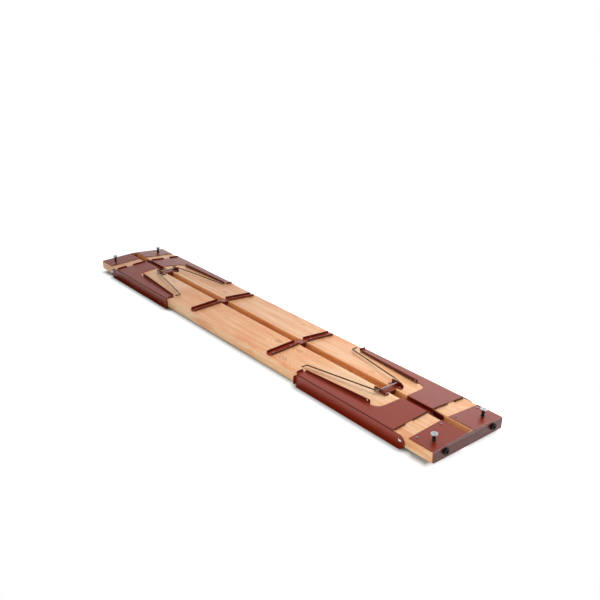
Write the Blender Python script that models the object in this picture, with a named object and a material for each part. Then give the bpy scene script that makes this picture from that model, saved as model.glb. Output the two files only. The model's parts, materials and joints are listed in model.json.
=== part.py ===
"""Folding bench lying on its seat with both legs folded.

Two seat boards, folded sheet-steel legs, wire bows that lock the legs, brackets and end plates.
Metres. X runs along the bench, Y across it and Z up; the origin is on the floor under its middle.
The +X end is called right and the -X end left; the -Y board is the front one, the +Y board the back one.
"""

import math

import bmesh
import bpy
from mathutils import Matrix, Vector

# ---------------------------------------------------------------- driving dimensions
CLEARANCE = 0.0003        # between pieces that touch
SHEET = 0.002             # steel sheet of legs, plates and brackets
BEND = 0.0025             # radius of a bend, at the middle of the sheet
RELIEF = 0.004            # depth of the notch at the end of a bend
SLOT = 0.0025             # width of that notch

LENGTH = 2.000            # over both end plates
SPAN = 0.320              # across both boards, at their underside
BOARD_GAP = 0.033         # slot between the boards
BOARD_THICK = 0.035
BOARD_ROUND = 0.0025      # rounding of the boards' long edges
BOARD_EASE = 0.0015       # chamfer round their ends
CROWN = 0.009             # rise of each board from its outer to its inner edge
FLANGE_DROP = 0.011       # how far the leg's side flange passes the seat face

PIVOT_SETBACK = 0.1195    # hinge axis from the bench's end
PIVOT_RISE = 0.0192       # hinge axis above the seat face
ROD_DIA = 0.008
BORE_PLAY = 0.0006        # hole diameter over pin diameter
WASHER = 0.001
WASHER_DIA = 0.018
SPACER_DIA = 0.013
ROD_HEAD_DIA = 0.013
ROD_HEAD = 0.0035

LEG_REACH = 0.4685        # hinge axis to the foot
EAR_SETBACK = 0.0070      # centre of the outer ear, inboard of the hinge axis
EAR_RADIUS = 0.0225
HUB_REACH = 0.0115        # hub ear of the channel wall: past the hinge axis
HUB_TOP = 0.0218          # above it
HUB_FOOT = 0.0105         # and below it
HUB_ROUND = 0.008
CHANNEL_HALF = 0.0128     # channel wall from the middle line
CHANNEL_DEPTH = 0.011
FOOT_FLANGE = 0.008
FOOT_TAB = 0.010
FOOT_TAB_HEIGHT = 0.031
CUT_MID = 0.1345          # leg cut-out, from the hinge axis to its edge at the middle line
CUT_SIDE = 0.1425         # the same, near its corner
CUT_CORNER = 0.030        # radius of the cut-out's corner
RIB_FOOT_INSET = 0.0325   # inner flange of the leg: from the boards' edge at the foot
RIB_LOCK_INSET = 0.0515   # and at its other end
RIB_END = 0.035           # from the rib's end to the level of the cut-out's corner
RIB_START = 0.009         # from the foot to the rib
RIB_FOOT_HEIGHT = 0.008
RIB_LOCK_HEIGHT = 0.013
STOP_HEIGHT = 0.0058      # flanges at the leg's hinge end, which land on the end plate
STOP_START = 0.0155       # inner stop flange: from the middle line to here, as long as
STOP_LENGTH = 0.0645
STOP_SPACE = 0.030        # gap to the outer one
STOP_INSET = 0.003        # outer one's end, from the boards' edge
CORNER = 0.003            # chamfer on the free corners of flanges
LOCK_INSET = 0.011        # lock hole from the rib's end
LOCK_RISE = 0.0075        # lock hole above the middle of the leg's sheet
LOCK_PLAY = 0.0018        # lock hole's diameter over the wire's

WIRE_DIA = 0.005
WIRE_BEND = 0.005         # bend radius at the cross rod
TIP_BEND = 0.006          # bend radius at the tips
ROD_HALF = 0.0515         # cross rod: middle line to arm
TIP_LENGTH = 0.024
TIP_REST_RISE = 0.0085    # tips above the board at rest
RIB_PLAY = 0.0008         # between an arm and the rib it locks in

BOW_SETBACK = 0.2025      # cross rod from the hinge axis
BOW_RISE = 0.0085         # cross rod above the crown of the boards
CHEEK_Y = 0.0405
CHEEK_LENGTH = 0.050
CHEEK_HEIGHT = 0.0150
CHEEK_BEVEL = 0.012       # slope at the cheeks' end nearer the hinge
CHEEK_DROP = 0.006
CHEEK_ROUND = 0.006
PATCH_LENGTH = 0.054
PATCH_INNER = 0.024
BRIDGE_LENGTH = 0.034
BRACKET_FLAT = 0.0138     # half of the flat between a bracket's two slopes
TAB_HALF = 0.0125
TAB_DEPTH = 0.016
BOW_SCREW_X = 0.018
BOW_SCREW_Y = 0.0315

CROSS_SETBACK = 0.1676    # cross bracket from the folded leg's foot
CROSS_WIDTH = 0.026
CROSS_HALF = 0.144        # half the length of its flanges
CROSS_TONGUE = 0.0045     # rounded end past the flanges
CROSS_FLANGE = 0.009
CROSS_NOTCH = 0.020       # its flanges stop this far from the middle line
CROSS_SCREWS_Y = (0.047, 0.126)

FLAP_LENGTH = 0.093
PLATE_INSET = 0.0035      # plate's edges inside the boards' edges
FLAP_SCREW_X = 0.079      # from the bench's end
FLAP_SCREW_INNER = 0.0175 # flap screws: from the boards' inner edge
FLAP_SCREW_OUTER = 0.023  # and from their outer edge
STUD_X = 0.040            # from the bench's end
STUD_INSET = 0.049        # from the boards' outer edge
STUD_STEM_DIA = 0.0095
STUD_STEM = 0.0100
STUD_CONE = 0.0090
STUD_COLLAR_DIA = 0.0120
STUD_CONE_DIA = 0.018
CAP_DIA = 0.0215
CAP_THICK = 0.0026
BUMPER_INSET = 0.052      # from the boards' outer edge
BUMPER_RISE = 0.0235      # above the seat face
BUMPER_DIA = 0.0215
BUMPER_DEPTH = 0.008
BUMPER_WELL_DIA = 0.010
BUMPER_FLOOR = 0.0035

SCREW_DIA = 0.0036
SCREW_HEAD_DIA = 0.0072
SCREW_HEAD = 0.0022
SCREW_GRIP = 0.014
PILOT_PLAY = 0.0006

# ---------------------------------------------------------------- sizes that follow from them
HALF_SPAN = SPAN / 2
HALF_GAP = BOARD_GAP / 2
BOARD_RUN = HALF_SPAN - HALF_GAP
TILT = math.atan2(CROWN, BOARD_RUN)
BOARD_END = LENGTH / 2 - SHEET - CLEARANCE
SHEET_LIFT = CLEARANCE + SHEET / 2
FLAP_SCREWS_Y = (HALF_GAP + FLAP_SCREW_INNER, HALF_SPAN - FLAP_SCREW_OUTER)
STUD_Y = HALF_SPAN - STUD_INSET
BUMPER_Y = HALF_SPAN - BUMPER_INSET
RIB_FOOT_Y = HALF_SPAN - RIB_FOOT_INSET
RIB_LOCK_Y = HALF_SPAN - RIB_LOCK_INSET
STOP_SPANS = ((STOP_START, STOP_START + STOP_LENGTH),
              (STOP_START + STOP_LENGTH + STOP_SPACE, HALF_SPAN - STOP_INSET))
PIVOT_X = LENGTH / 2 - PIVOT_SETBACK
BOW_X = PIVOT_X - BOW_SETBACK
PLATE_Y = HALF_SPAN - PLATE_INSET
FLANGE_Y = HALF_SPAN + CLEARANCE + WASHER + CLEARANCE + SHEET / 2
PIVOT_Z = FLANGE_DROP + PIVOT_RISE
FOOT_X = PIVOT_X - LEG_REACH
CROSS_X = FOOT_X - CROSS_SETBACK


def underside(y):
    """Height of the boards' underside at a distance y from the middle line."""
    return FLANGE_DROP + BOARD_THICK + CROWN * (HALF_SPAN - abs(y)) / BOARD_RUN


def sheet_z(y):
    """Middle of a sheet that lies on the boards."""
    return underside(y) + SHEET_LIFT


EAR_X = PIVOT_X - EAR_SETBACK
STOP_REST = underside(HALF_GAP) + CLEARANCE + SHEET + CLEARANCE
STOP_X = PIVOT_X - (STOP_REST + SHEET / 2 - PIVOT_Z)
RIB_LENGTH = LEG_REACH - RIB_START - RIB_END - CUT_SIDE
RIB_FOOT_X = FOOT_X + RIB_START
RIB_LOCK_X = RIB_FOOT_X + RIB_LENGTH
RIB_SLOPE = (RIB_LOCK_Y - RIB_FOOT_Y) / RIB_LENGTH
LOCK_X = RIB_LOCK_X - LOCK_INSET
LOCK_Y = RIB_LOCK_Y - RIB_SLOPE * LOCK_INSET
LOCK_Z = sheet_z(LOCK_Y) + LOCK_RISE
BOW_Z = underside(0.0) + BOW_RISE
ARM_END_Y = RIB_LOCK_Y - SHEET / 2 - RIB_PLAY - WIRE_DIA / 2
OPEN_LOCK_X = PIVOT_X + (LOCK_Z - PIVOT_Z)
OPEN_LOCK_Z = PIVOT_Z + (PIVOT_X - LOCK_X)
BOW_REACH = math.hypot(OPEN_LOCK_X - BOW_X, OPEN_LOCK_Z - BOW_Z)
TIP_DROP = BOW_Z - (underside(ARM_END_Y) + TIP_REST_RISE)
BOW_REST_ANGLE = math.asin(TIP_DROP / BOW_REACH)
BOW_OPEN_ANGLE = math.pi + BOW_REST_ANGLE - math.atan2(OPEN_LOCK_Z - BOW_Z, OPEN_LOCK_X - BOW_X)


# ---------------------------------------------------------------- scene and materials
def clear_scene():
    for thing in list(bpy.data.objects):
        bpy.data.objects.remove(thing, do_unlink=True)


def material(name, colour, roughness, metallic):
    """Principled material of one plain finish."""
    made = bpy.data.materials.new(name)
    made.use_nodes = True
    shader = made.node_tree.nodes["Principled BSDF"]
    shader.inputs["Base Color"].default_value = (*colour, 1.0)
    shader.inputs["Roughness"].default_value = roughness
    shader.inputs["Metallic"].default_value = metallic
    made.diffuse_color = (*colour, 1.0)
    return made


def finishes():
    return {
        "pine": material("pine", (0.76, 0.47, 0.24), 0.55, 0.0),
        "coat": material("red_brown_coat", (0.17, 0.025, 0.012), 0.35, 0.0),
        "wire": material("bright_wire", (0.62, 0.58, 0.52), 0.25, 1.0),
        "zinc": material("zinc_steel", (0.72, 0.72, 0.74), 0.30, 1.0),
        "rubber": material("black_rubber", (0.012, 0.012, 0.013), 0.65, 0.0),
        "nylon": material("dark_nylon", (0.03, 0.03, 0.032), 0.50, 0.0),
    }


# ---------------------------------------------------------------- building helpers
def place(name, mesh, finish, parent=None, frame=Matrix.Identity(4)):
    """Object with its finish, standing in a frame of its parent's."""
    made = bpy.data.objects.new(name, mesh)
    bpy.context.scene.collection.objects.link(made)
    if finish and not mesh.materials:
        mesh.materials.append(finish)
    made.parent = parent
    made.matrix_basis = frame
    return made


def empty(name, turn):
    """Parent that turns one end of the bench about the vertical axis."""
    made = bpy.data.objects.new(name, None)
    bpy.context.scene.collection.objects.link(made)
    made.rotation_euler = (0.0, 0.0, turn)
    return made


def to_mesh(bm, name, smooth_angle=50.0):
    """Mesh of a finished bmesh, its round sides shaded smooth."""
    bmesh.ops.recalc_face_normals(bm, faces=bm.faces)
    mesh = bpy.data.meshes.new(name)
    bm.to_mesh(mesh)
    bm.free()
    mesh.shade_smooth()
    mesh.set_sharp_from_angle(angle=math.radians(smooth_angle))
    return mesh


def cut(target, cutter):
    """Exact boolean difference that stays on the target."""
    step = target.modifiers.new("cut_" + cutter.name, "BOOLEAN")
    step.operation = "DIFFERENCE"
    step.solver = "EXACT"
    step.object = cutter


def even_shading(made):
    """Let the large faces set the smooth normals next to bends and holes."""
    step = made.modifiers.new("even_shading", "WEIGHTED_NORMAL")
    step.keep_sharp = True


def as_cutter(made):
    made.hide_render = True
    made.display_type = "WIRE"
    return made


def turn_profile(bm, profile, matrix, steps=16, closed=False):
    """Revolve (radius, height) points about the matrix's Z axis; a closed profile makes a ring."""
    rings = []
    for radius, height in profile:
        if radius == 0.0:
            rings.append([bm.verts.new(matrix @ Vector((0.0, 0.0, height)))])
            continue
        ring = []
        for step in range(steps):
            angle = 2 * math.pi * step / steps
            point = Vector((radius * math.cos(angle), radius * math.sin(angle), height))
            ring.append(bm.verts.new(matrix @ point))
        rings.append(ring)
    pairs = list(zip(rings, rings[1:]))
    if closed:
        pairs.append((rings[-1], rings[0]))
    for low, high in pairs:
        for step in range(steps):
            after = (step + 1) % steps
            corners = [low[step % len(low)], low[after % len(low)], high[after % len(high)], high[step % len(high)]]
            bm.faces.new(list(dict.fromkeys(corners)))
    if not closed:
        for ring in (rings[0], rings[-1]):
            if len(ring) > 1:
                bm.faces.new(ring)


def rod_profile(diameter, low, high):
    return [(diameter / 2, low), (diameter / 2, high)]


def dome(diameter, low, height, steps=2):
    """Profile points of a pan head: straight rim, then an elliptic dome up to the axis."""
    rim = 0.35 * height
    points = [(diameter / 2, low), (diameter / 2, low + rim)]
    for step in range(1, steps + 1):
        angle = math.pi / 2 * step / steps
        reach = diameter / 2 * math.cos(angle) if step < steps else 0.0
        points.append((reach, low + rim + (height - rim) * math.sin(angle)))
    return points


def along_y(x, y, z):
    """Frame at a point, its Z axis along +Y."""
    return Matrix.Translation((x, y, z)) @ Matrix.Rotation(-math.pi / 2, 4, "X")


def along_x(x, y, z):
    """Frame at a point, its Z axis along +X."""
    return Matrix.Translation((x, y, z)) @ Matrix.Rotation(math.pi / 2, 4, "Y")


def on_board(x, y):
    """Frame on the boards' underside at x, y: its Z axis stands square on that board."""
    lean = math.copysign(TILT, y)
    return Matrix.Translation((x, y, underside(y))) @ Matrix.Rotation(-lean, 4, "X")


class Sheet:
    """Middle surface of one folded sheet. Faces that name the same points share their bend lines."""

    def __init__(self):
        self.bm = bmesh.new()
        self.known = {}

    def point(self, place_at):
        key = tuple(round(value, 6) for value in place_at)
        if key not in self.known:
            self.known[key] = self.bm.verts.new(place_at)
        return self.known[key]

    def face(self, points):
        self.bm.faces.new([self.point(place_at) for place_at in points])

    def mesh(self, name, origin=(0.0, 0.0, 0.0)):
        """Round the bends and move the mesh so that origin is its own zero."""
        bmesh.ops.recalc_face_normals(self.bm, faces=self.bm.faces)
        bends = []
        for edge in self.bm.edges:
            if len(edge.link_faces) == 2 and edge.calc_face_angle(0.0) > math.radians(20.0):
                bends.append(edge)
        bmesh.ops.bevel(self.bm, geom=bends, offset=BEND, offset_type="OFFSET", segments=2,
                        profile=0.5, affect="EDGES")
        bmesh.ops.translate(self.bm, verts=self.bm.verts, vec=-Vector(origin))
        return to_mesh(self.bm, name, 50.0)


def fold(name, sheet, finish, parent=None, origin=(0.0, 0.0, 0.0)):
    """Folded sheet as an object: middle surface plus Solidify for its thickness."""
    made = place(name, sheet.mesh(name, origin), finish, parent, Matrix.Translation(origin))
    wall = made.modifiers.new("sheet", "SOLIDIFY")
    wall.thickness = SHEET
    wall.offset = 0.0
    wall.use_even_offset = True
    wall.use_quality_normals = True
    return made


def arc(centre, radius, start, stop, steps):
    """Points (u, v) on a circle from one angle to another, in degrees, both ends included."""
    points = []
    for step in range(steps + 1):
        angle = math.radians(start + (stop - start) * step / steps)
        points.append((centre[0] + radius * math.cos(angle), centre[1] + radius * math.sin(angle)))
    return points


def fillet(before, corner, after, radius, steps):
    """Points that round the corner of a bent line."""
    corner = Vector(corner)
    to_before = (Vector(before) - corner).normalized()
    to_after = (Vector(after) - corner).normalized()
    half = to_before.angle(to_after) / 2
    centre = corner + (to_before + to_after).normalized() * (radius / math.sin(half))
    first = corner + to_before * (radius / math.tan(half)) - centre
    last = corner + to_after * (radius / math.tan(half)) - centre
    sweep = first.angle(last)
    points = []
    for step in range(steps + 1):
        part = sweep * step / steps
        mixed = (first * math.sin(sweep - part) + last * math.sin(part)) / math.sin(sweep)
        points.append(tuple(centre + mixed))
    return points


def upstand(sheet, low, high, height_low, height_high):
    """Vertical flange over the line from low to high, its free corners chamfered."""
    low = Vector(low)
    high = Vector(high)
    inward = (high - low).normalized() * CORNER
    rise = Vector((0.0, 0.0, 1.0))
    chamfer = min(CORNER, abs(height_low) / 2)
    sign = math.copysign(1.0, height_low)
    points = [low, high,
              high + rise * (height_high - sign * chamfer), high - inward + rise * height_high,
              low + inward + rise * height_low, low + rise * (height_low - sign * chamfer)]
    sheet.face([tuple(point) for point in points])


# ---------------------------------------------------------------- seat boards
def board_outline(side):
    """Section of one board in Y and Z: a rounded rectangle that leans towards the middle line."""
    outer = Vector((side * HALF_SPAN, underside(HALF_SPAN)))
    inner = Vector((side * HALF_GAP, underside(HALF_GAP)))
    down = Vector((-side * math.sin(TILT), -math.cos(TILT))) * BOARD_THICK
    corners = [outer, inner, inner + down, outer + down]
    points = []
    for index, corner in enumerate(corners):
        before = corners[index - 1]
        after = corners[(index + 1) % 4]
        points.extend(fillet(before, corner, after, BOARD_ROUND, 2))
    return points


def seat_board(name, side, finish):
    bm = bmesh.new()
    outline = board_outline(side)
    reach = BOARD_END - BOARD_EASE
    bm.faces.new([bm.verts.new((-reach, y, z)) for y, z in outline])
    grown = bmesh.ops.extrude_face_region(bm, geom=bm.faces[:])
    moved = [item for item in grown["geom"] if isinstance(item, bmesh.types.BMVert)]
    bmesh.ops.translate(bm, verts=moved, vec=(2 * reach, 0.0, 0.0))
    bmesh.ops.recalc_face_normals(bm, faces=bm.faces)
    ends = [face for face in bm.faces if len(face.verts) > 4]
    bmesh.ops.inset_individual(bm, faces=ends, thickness=BOARD_EASE, depth=BOARD_EASE, use_even_offset=True)
    return place(name, to_mesh(bm, name), finish)


def screw_places():
    """Where the wood screws of one end go: {group: [(x, y), ...]} in the right end's frame."""
    groups = {"end_plate": [], "bow_bracket": [], "cross_bracket": []}
    for side in (-1, 1):
        for y in FLAP_SCREWS_Y:
            groups["end_plate"].append((LENGTH / 2 - FLAP_SCREW_X, side * y))
        for x in (BOW_X - BOW_SCREW_X, BOW_X + BOW_SCREW_X):
            groups["bow_bracket"].append((x, side * BOW_SCREW_Y))
        for y in CROSS_SCREWS_Y:
            groups["cross_bracket"].append((CROSS_X, side * y))
    return groups


def drill_boards(boards):
    """Pilot holes for screws and studs, bumper screw holes and the hinge rods' bores."""
    bm = bmesh.new()
    for turn in (0.0, math.pi):
        end = Matrix.Rotation(turn, 4, "Z")
        spots = [spot for group in screw_places().values() for spot in group]
        spots += [(LENGTH / 2 - STUD_X, side * STUD_Y) for side in (-1, 1)]
        for x, y in spots:
            hole = rod_profile(SCREW_DIA + PILOT_PLAY, -SCREW_GRIP - 2 * CLEARANCE, 0.004)
            turn_profile(bm, hole, end @ on_board(x, y), 10)
        for side in (-1, 1):
            where = along_x(BOARD_END, side * BUMPER_Y, FLANGE_DROP + BUMPER_RISE)
            hole = rod_profile(SCREW_DIA + PILOT_PLAY, -SCREW_GRIP - 2 * CLEARANCE, 0.004)
            turn_profile(bm, hole, end @ where, 10)
        bore = rod_profile(ROD_DIA + BORE_PLAY, -HALF_SPAN - SHEET, HALF_SPAN + SHEET)
        turn_profile(bm, bore, end @ along_y(PIVOT_X, 0.0, PIVOT_Z), 16)
    cutter = as_cutter(place("board_drill", to_mesh(bm, "board_drill"), None))
    for board in boards:
        cut(board, cutter)


# ---------------------------------------------------------------- screws
def wood_screw(lift):
    """Mesh of a pan-head screw whose head sits a lift above its zero, its shank below."""
    bm = bmesh.new()
    shank = rod_profile(SCREW_DIA, -SCREW_GRIP, lift)
    turn_profile(bm, shank + dome(SCREW_HEAD_DIA, lift, SCREW_HEAD), Matrix.Identity(4), 8)
    return to_mesh(bm, "wood_screw")


def sheet_drill(name, spots, parent, diameter=SCREW_DIA + PILOT_PLAY):
    """Cutter for the screw holes of a sheet that lies on the boards."""
    bm = bmesh.new()
    for x, y in spots:
        hole = rod_profile(diameter, -SHEET, 3 * SHEET)
        turn_profile(bm, hole, on_board(x, y), 10)
    return as_cutter(place(name, to_mesh(bm, name), None, parent))


# ---------------------------------------------------------------- end plate, bumpers, studs
def end_plate(label, finish, parent):
    """Plate over the boards' ends with a flap on each board."""
    sheet = Sheet()
    front = LENGTH / 2 - SHEET / 2
    rim = LENGTH / 2 - FLAP_LENGTH
    top_out = sheet_z(PLATE_Y)
    top_in = sheet_z(HALF_GAP)
    half = [(HALF_GAP - SLOT, top_in), (HALF_GAP - SLOT, top_in - RELIEF), (HALF_GAP, top_in - RELIEF),
            (HALF_GAP, top_in), (PLATE_Y, top_out)]
    foot = [(PLATE_Y, FLANGE_DROP + CORNER), (PLATE_Y - CORNER, FLANGE_DROP)]
    outline = half + foot
    outline += [(-y, z) for y, z in reversed(outline)]
    sheet.face([(front, y, z) for y, z in outline])
    for side in (-1, 1):
        inner = side * HALF_GAP
        outer = side * PLATE_Y
        sheet.face([(front, inner, top_in), (front, outer, top_out),
                    (rim, outer, top_out), (rim, inner, top_in)])
    plate = fold("end_plate_" + label, sheet, finish, parent)
    spots = screw_places()["end_plate"] + [(LENGTH / 2 - STUD_X, side * STUD_Y) for side in (-1, 1)]
    cut(plate, sheet_drill("end_plate_drill_" + label, spots, parent))
    bm = bmesh.new()
    for side in (-1, 1):
        hole = rod_profile(SCREW_DIA + PILOT_PLAY, -2 * SHEET, SHEET)
        turn_profile(bm, hole, along_x(LENGTH / 2, side * BUMPER_Y, FLANGE_DROP + BUMPER_RISE), 10)
    name = "bumper_drill_" + label
    cut(plate, as_cutter(place(name, to_mesh(bm, name), None, parent)))
    return plate


def bumper_mesh():
    """Rubber bumper with a well for its screw, standing on its zero along Z."""
    bm = bmesh.new()
    radius = BUMPER_DIA / 2
    bore = (SCREW_DIA + PILOT_PLAY) / 2
    well = BUMPER_WELL_DIA / 2
    soft = BUMPER_DEPTH * 0.3
    profile = [(bore, CLEARANCE), (radius, CLEARANCE), (radius, BUMPER_DEPTH - soft)]
    profile += [(radius - soft + u, BUMPER_DEPTH - soft + v) for u, v in arc((0.0, 0.0), soft, 30, 90, 2)]
    profile += [(well, BUMPER_DEPTH), (well, BUMPER_FLOOR), (bore, BUMPER_FLOOR)]
    turn_profile(bm, profile, Matrix.Identity(4), 16, closed=True)
    return to_mesh(bm, "bumper")


def stud_mesh():
    """Stem of a stacking stud: a collar, a stem and a cone under the cap, bored for the cap's bolt."""
    bm = bmesh.new()
    low = CLEARANCE + SHEET + CLEARANCE
    stem = STUD_STEM_DIA / 2
    bore = (SCREW_DIA + PILOT_PLAY) / 2
    cone = STUD_CONE_DIA / 2
    collar = STUD_COLLAR_DIA / 2
    profile = [(bore, low), (collar, low), (collar, low + SHEET), (stem, low + 1.6 * SHEET),
               (stem, low + STUD_STEM), (cone, low + STUD_STEM + STUD_CONE), (bore, low + STUD_STEM + STUD_CONE)]
    turn_profile(bm, profile, Matrix.Identity(4), 16, closed=True)
    return to_mesh(bm, "stud_stem")


def stud_cap_mesh():
    """Flat steel cap of a stud: a disc with a ring groove, and its bolt down into the board."""
    bm = bmesh.new()
    low = 3 * CLEARANCE + SHEET + STUD_STEM + STUD_CONE
    top = low + CAP_THICK
    radius = CAP_DIA / 2
    edge = CAP_THICK * 0.3
    shank = rod_profile(SCREW_DIA, -SCREW_GRIP, low)
    head = [(radius, low), (radius, top - edge), (radius - edge, top), (radius * 0.60, top),
            (radius * 0.54, top - edge), (radius * 0.26, top - edge), (radius * 0.22, top - 2 * edge),
            (0.0, top - 2 * edge)]
    turn_profile(bm, shank + head, Matrix.Identity(4), 16)
    return to_mesh(bm, "stud_cap")


# ---------------------------------------------------------------- brackets
def cross_bracket(label, finish, parent):
    """Channel that ties the boards together: arms on both boards, tabs down into the slot."""
    sheet = Sheet()
    near = CROSS_X - CROSS_WIDTH / 2
    far = CROSS_X + CROSS_WIDTH / 2
    flat_z = sheet_z(BRACKET_FLAT)
    middle = []
    for x, sign in ((near, 1), (far, -1)):
        inset = x + sign * RELIEF
        edge = [(inset, -BRACKET_FLAT), (inset, -TAB_HALF), (x, -TAB_HALF), (x, TAB_HALF), (inset, TAB_HALF),
                (inset, BRACKET_FLAT)]
        middle += edge if sign < 0 else list(reversed(edge))
        upstand(sheet, (x, -TAB_HALF, flat_z), (x, TAB_HALF, flat_z), -TAB_DEPTH, -TAB_DEPTH)
    sheet.face([(x, y, flat_z) for x, y in middle])
    for side in (-1, 1):
        tip = CROSS_HALF
        curve = arc((0.0, 0.0), 1.0, 150, 30, 4)
        arm = [(near + RELIEF, BRACKET_FLAT), (near + RELIEF, CROSS_NOTCH), (near, CROSS_NOTCH), (near, tip)]
        arm += [(near + RELIEF, tip)]
        arm += [(CROSS_X + u * (CROSS_WIDTH / 2 - RELIEF), tip + v * CROSS_TONGUE) for u, v in curve]
        arm += [(far - RELIEF, tip), (far, tip), (far, CROSS_NOTCH), (far - RELIEF, CROSS_NOTCH)]
        arm += [(far - RELIEF, BRACKET_FLAT)]
        sheet.face([(x, side * y, sheet_z(y)) for x, y in arm])
        for x in (near, far):
            low = (x, side * CROSS_NOTCH, sheet_z(CROSS_NOTCH))
            high = (x, side * tip, sheet_z(tip))
            upstand(sheet, low, high, CROSS_FLANGE, CROSS_FLANGE)
    bracket = fold("cross_bracket_" + label, sheet, finish, parent)
    cut(bracket, sheet_drill("cross_bracket_drill_" + label, screw_places()["cross_bracket"], parent))
    return bracket


def bow_bracket(label, finish, parent):
    """Bracket that carries a bow's cross rod: patches on both boards, a bridge, cheeks and tabs."""
    sheet = Sheet()
    flat_z = sheet_z(BRACKET_FLAT)
    bridge = BRIDGE_LENGTH / 2
    patch = PATCH_LENGTH / 2
    cheek = CHEEK_LENGTH / 2
    middle = []
    for sign in (-1, 1):
        edge = [(sign * (bridge - RELIEF), -BRACKET_FLAT), (sign * (bridge - RELIEF), -TAB_HALF),
                (sign * bridge, -TAB_HALF), (sign * bridge, TAB_HALF),
                (sign * (bridge - RELIEF), TAB_HALF), (sign * (bridge - RELIEF), BRACKET_FLAT)]
        middle += edge if sign > 0 else list(reversed(edge))
        x = BOW_X + sign * bridge
        upstand(sheet, (x, -TAB_HALF, flat_z), (x, TAB_HALF, flat_z), -TAB_DEPTH, -TAB_DEPTH)
    sheet.face([(BOW_X + x, y, flat_z) for x, y in middle])
    for side in (-1, 1):
        base = [(-(bridge - RELIEF), BRACKET_FLAT), (-(bridge - RELIEF), PATCH_INNER)]
        base += fillet((-bridge, PATCH_INNER), (-patch, PATCH_INNER), (-patch, CHEEK_Y), 0.004, 2)
        base += [(-patch, CHEEK_Y - RELIEF), (-cheek, CHEEK_Y - RELIEF), (-cheek, CHEEK_Y)]
        base += [(cheek, CHEEK_Y), (cheek, CHEEK_Y - RELIEF), (patch, CHEEK_Y - RELIEF)]
        base += fillet((patch, CHEEK_Y), (patch, PATCH_INNER), (bridge, PATCH_INNER), 0.004, 2)
        base += [(bridge - RELIEF, PATCH_INNER), (bridge - RELIEF, BRACKET_FLAT)]
        sheet.face([(BOW_X + x, side * y, sheet_z(y)) for x, y in base])
        low = sheet_z(CHEEK_Y)
        top = low + CHEEK_HEIGHT
        shoulder = (cheek, top - CHEEK_DROP)
        crest = (cheek - CHEEK_BEVEL, top)
        wall = [(-cheek, low), (cheek, low)]
        wall += fillet((cheek, low), shoulder, crest, CHEEK_ROUND / 2, 2)
        wall += fillet(shoulder, crest, (-cheek, top), CHEEK_ROUND, 2)
        wall += fillet(crest, (-cheek, top), (-cheek, low), CHEEK_ROUND, 3)
        sheet.face([(BOW_X + x, side * CHEEK_Y, z) for x, z in wall])
    bracket = fold("bow_bracket_" + label, sheet, finish, parent)
    cut(bracket, sheet_drill("bow_bracket_drill_" + label, screw_places()["bow_bracket"], parent))
    bm = bmesh.new()
    bore = rod_profile(WIRE_DIA + BORE_PLAY, -CHEEK_Y - 2 * SHEET, CHEEK_Y + 2 * SHEET)
    turn_profile(bm, bore, along_y(BOW_X, 0.0, BOW_Z), 12)
    name = "bow_bracket_bore_" + label
    cut(bracket, as_cutter(place(name, to_mesh(bm, name), None, parent)))
    return bracket


# ---------------------------------------------------------------- legs
def rib_line():
    """Bend line of the leg's inner flange and its unit normal towards the leg's outside, in X and Y."""
    foot = Vector((RIB_FOOT_X, RIB_FOOT_Y))
    lock = Vector((RIB_LOCK_X, RIB_LOCK_Y))
    run = (lock - foot).normalized()
    return foot, lock, Vector((-run.y, run.x))


def leg_panel_outline():
    """Half of the leg's panel in X and distance from the middle line, foot first, then round by the hinge."""
    foot, lock, away = rib_line()
    stop_base = STOP_X - RELIEF
    points = [(FOOT_X + RELIEF, FLANGE_Y), (stop_base, FLANGE_Y)]
    for low, high in reversed(STOP_SPANS):
        points += [(stop_base, high), (STOP_X, high), (STOP_X, low), (stop_base, low)]
    points += [(stop_base, CHANNEL_HALF), (PIVOT_X - CUT_MID, CHANNEL_HALF)]
    rib_end = lock + away * RELIEF
    corner_x = PIVOT_X - CUT_SIDE
    corner_y = rib_end.y + (corner_x - rib_end.x) * RIB_SLOPE
    points += fillet((PIVOT_X - CUT_MID, CHANNEL_HALF), (corner_x, corner_y), tuple(rib_end), CUT_CORNER, 6)
    points += [tuple(rib_end), tuple(lock), tuple(foot), tuple(foot + away * RELIEF)]
    inner = (foot + away * RELIEF).y
    outer = FLANGE_Y - RELIEF
    points += [(FOOT_X, inner), (FOOT_X, outer), (FOOT_X + RELIEF, outer)]
    return points, (inner, outer)


def tangent_angle(point, centre, radius, side):
    """Angle in degrees, seen from the centre, where a line from the point touches the circle."""
    away = Vector(point) - Vector(centre)
    return math.degrees(math.atan2(away.y, away.x) + side * math.acos(radius / away.length))


def side_flange_outline():
    """Leg's side flange with its hinge ear and foot tab, in X and Z."""
    top = sheet_z(FLANGE_Y)
    bend_end = STOP_X - RELIEF
    tab_top = top - RELIEF
    tab_low = tab_top - FOOT_TAB_HEIGHT
    points = [(FOOT_X + RELIEF, top), (bend_end, top), (bend_end, top - RELIEF),
              (bend_end + SLOT, top - RELIEF), (bend_end + SLOT, top)]
    centre = (EAR_X, EAR_RADIUS)
    points += arc(centre, EAR_RADIUS, tangent_angle(points[-1], centre, EAR_RADIUS, -1), -90, 12)
    points += [(FOOT_X + RELIEF + CORNER, 0.0), (FOOT_X + RELIEF, CORNER)]
    points += [(FOOT_X + RELIEF, tab_low), (FOOT_X, tab_low), (FOOT_X, tab_top), (FOOT_X + RELIEF, tab_top)]
    return points, (tab_low, tab_top)


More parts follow.
